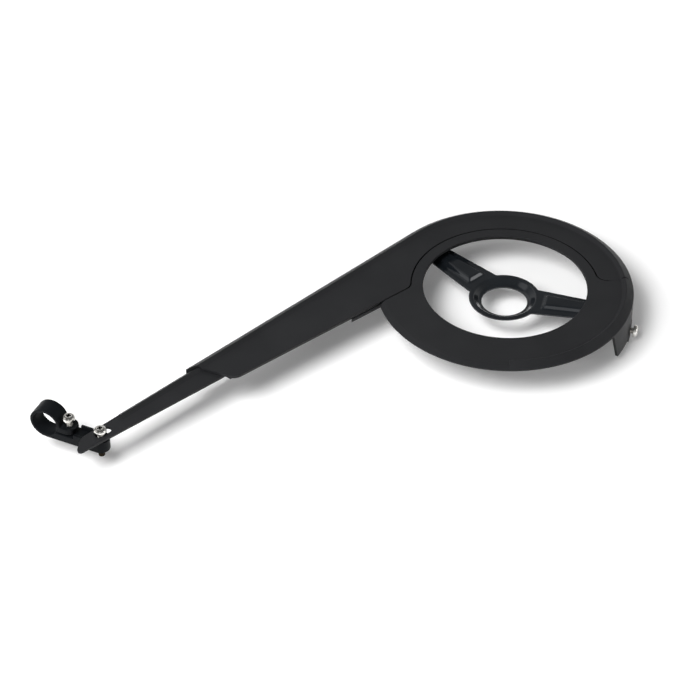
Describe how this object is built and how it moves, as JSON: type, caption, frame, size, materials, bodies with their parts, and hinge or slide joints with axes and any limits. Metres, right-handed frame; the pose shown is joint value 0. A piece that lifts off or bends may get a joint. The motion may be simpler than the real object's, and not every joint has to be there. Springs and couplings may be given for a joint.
{
  "type": "bicycle chain guard",
  "caption": "Moulded bicycle chain guard with a ring round the crank, a pressed bottom bracket mount, a telescopic end blade and a chainstay clip.",
  "frame": {"origin": "centre of the bottom bracket's bore, on the bracket's seat", "axes": "+Z along the bore out of the guard's face, -X along the arm to the rear wheel, +Y to the arm's skirt"},
  "size_m": [0.4537, 0.2406, 0.0432],
  "materials": {
    "guard_plastic": "fine moulded matt black",
    "bracket_steel": "gloss blue black coat",
    "clip_plastic": "satin black",
    "screw_zinc": "bright zinc plate"
  },
  "bodies": {
    "guard": {"main_guard": "guard_plastic", "guard_ring": "guard_plastic", "bb_bracket": "bracket_steel", "bracket_screw_front": "screw_zinc", "bracket_nut_front": "screw_zinc", "bracket_screw_top": "screw_zinc", "bracket_nut_top": "screw_zinc"},
    "blade": {"extension_blade": "guard_plastic"},
    "bolt": {"blade_screw": "screw_zinc"},
    "clip": {"chainstay_clamp": "clip_plastic", "clamp_screw": "screw_zinc", "clamp_nut": "screw_zinc", "blade_nut": "screw_zinc"}
  },
  "joints": [
    {"name": "extension_slide", "type": "slide", "parent": "guard", "child": "blade", "axis": [-1, 0, 0], "range_m": [-0.02, 0.02]},
    {"name": "bolt_slide", "type": "slide", "parent": "blade", "child": "bolt", "axis": [-1, 0, 0], "range_m": [-0.0066, 0.0014]},
    {"name": "clip_pivot", "type": "hinge", "parent": "bolt", "child": "clip", "pos_m": [-0.3299, 0.089, 0], "axis": [0, 0, 1], "range_deg": [-45, 33]}
  ]
}
